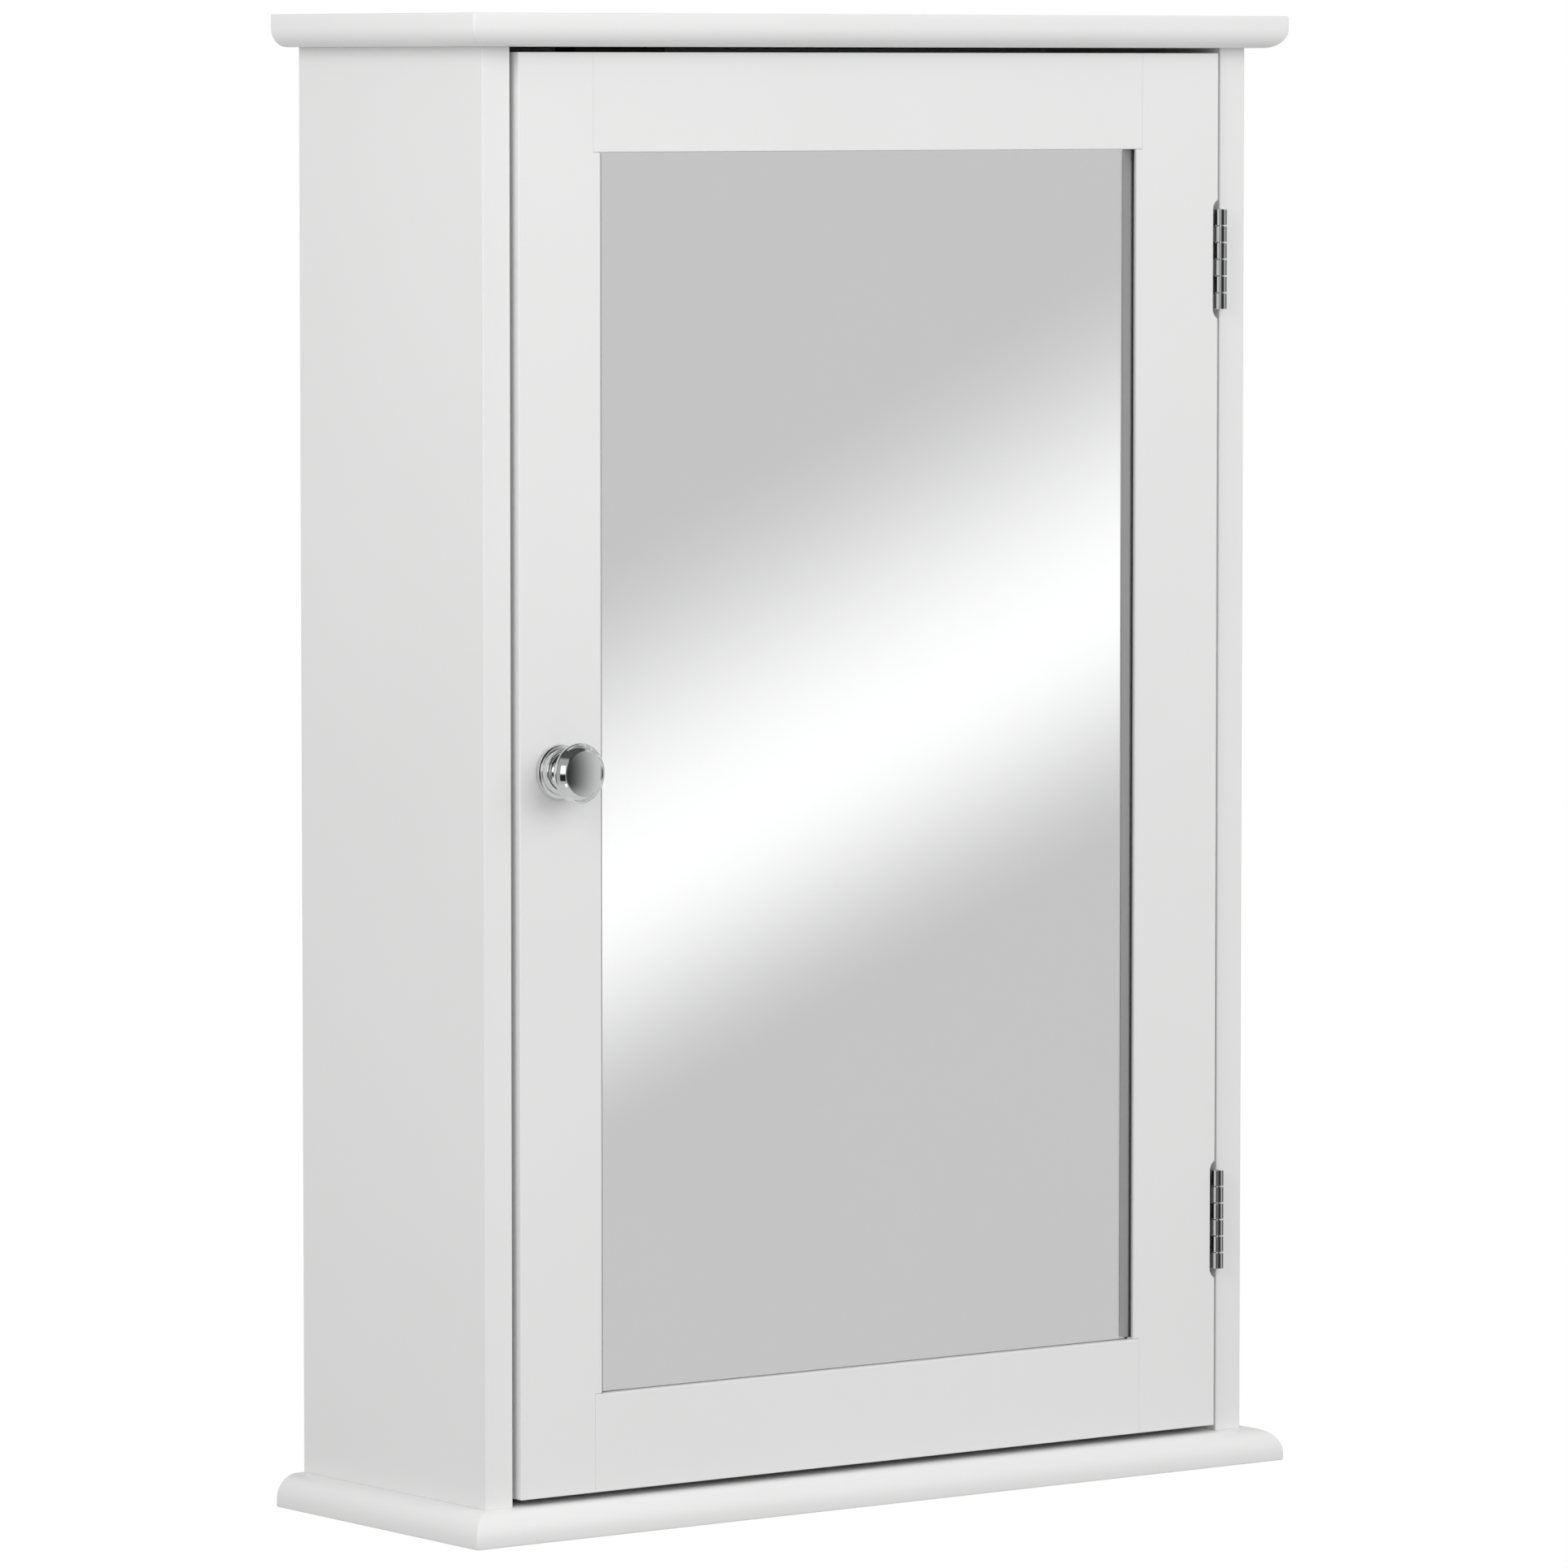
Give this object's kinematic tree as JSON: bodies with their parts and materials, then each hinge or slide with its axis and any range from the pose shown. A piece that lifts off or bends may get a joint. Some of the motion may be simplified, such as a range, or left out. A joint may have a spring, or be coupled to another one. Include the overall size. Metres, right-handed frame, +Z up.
{
  "type": "hanging wall cabinet",
  "caption": "Shallow wall-hung storage cabinet with a hinged mirror door, moulded top and bottom boards, a round knob and an adjustable shelf.",
  "frame": {"origin": "centre of the hanging rail's rear face, in the plane of the wall and midway between the two wall screws", "axes": "+X to the right as seen from the room, +Y back into the wall, +Z up"},
  "size_m": [0.375, 0.1377, 0.55],
  "materials": {
    "lacquer_board": "satin white lacquer on fibreboard",
    "back_board": "white-faced hardboard, bare brown rear face",
    "mirror_backing": "bare brown hardboard",
    "mirror": "silvered float glass",
    "chrome": "polished",
    "nickel": "bright nickel plate",
    "zinc": "bright zinc plate",
    "beech": "fluted beech dowel",
    "dark_plastic": "moulded",
    "magnet": "ferrite between steel cheeks"
  },
  "bodies": {
    "cabinet": {"top_board": "lacquer_board", "bottom_board": "lacquer_board", "side_panel_left": "lacquer_board", "side_panel_right": "lacquer_board", "hanging_rail": "lacquer_board", "back_panel": "back_board", "hinge_top_cabinet_leaf": "chrome", "hinge_top_pin": "chrome", "hinge_bottom_cabinet_leaf": "chrome", "hinge_bottom_pin": "chrome", "shelf_pin_left_front": "nickel", "shelf_pin_left_rear": "nickel", "shelf_pin_right_front": "nickel", "shelf_pin_right_rear": "nickel", "catch_screw_left": "zinc", "catch_screw_right": "zinc", "hinge_top_cabinet_screw_lower": "zinc", "hinge_top_cabinet_screw_upper": "zinc", "hinge_bottom_cabinet_screw_lower": "zinc", "hinge_bottom_cabinet_screw_upper": "zinc", "cam_bolt_top_left": "zinc", "cam_bolt_top_right": "zinc", "cam_bolt_bottom_left": "zinc", "cam_bolt_bottom_right": "zinc", "cam_lock_top_left": "zinc", "cam_lock_top_right": "zinc", "cam_lock_bottom_left": "zinc", "cam_lock_bottom_right": "zinc", "dowel_top_left_front": "beech", "dowel_top_left_rear": "beech", "dowel_top_right_front": "beech", "dowel_top_right_rear": "beech", "dowel_bottom_left_front": "beech", "dowel_bottom_left_rear": "beech", "dowel_bottom_right_front": "beech", "dowel_bottom_right_rear": "beech", "dowel_rail_left_lower": "beech", "dowel_rail_left_upper": "beech", "dowel_rail_right_lower": "beech", "dowel_rail_right_upper": "beech", "catch_housing": "dark_plastic", "catch_magnet": "magnet"},
    "door": {"door_stile_left": "lacquer_board", "door_stile_right": "lacquer_board", "door_rail_top": "lacquer_board", "door_rail_bottom": "lacquer_board", "mirror_glass": "mirror", "mirror_backing": "mirror_backing", "knob": "chrome", "knob_screw": "zinc", "strike_plate": "nickel", "strike_screw": "zinc", "hinge_top_door_leaf": "chrome", "hinge_bottom_door_leaf": "chrome", "hinge_top_door_screw_lower": "zinc", "hinge_top_door_screw_upper": "zinc", "hinge_bottom_door_screw_lower": "zinc", "hinge_bottom_door_screw_upper": "zinc"},
    "shelf": {"shelf": "lacquer_board"}
  },
  "joints": [
    {"name": "door_hinge", "type": "hinge", "parent": "cabinet", "child": "door", "pos_m": [0.16235, -0.1204, -0.238], "axis": [0, 0, 1], "range_deg": [0, 180]},
    {"name": "shelf_lift", "type": "slide", "parent": "cabinet", "child": "shelf", "axis": [0, 0, 1], "range_m": [0, 0.03]}
  ]
}
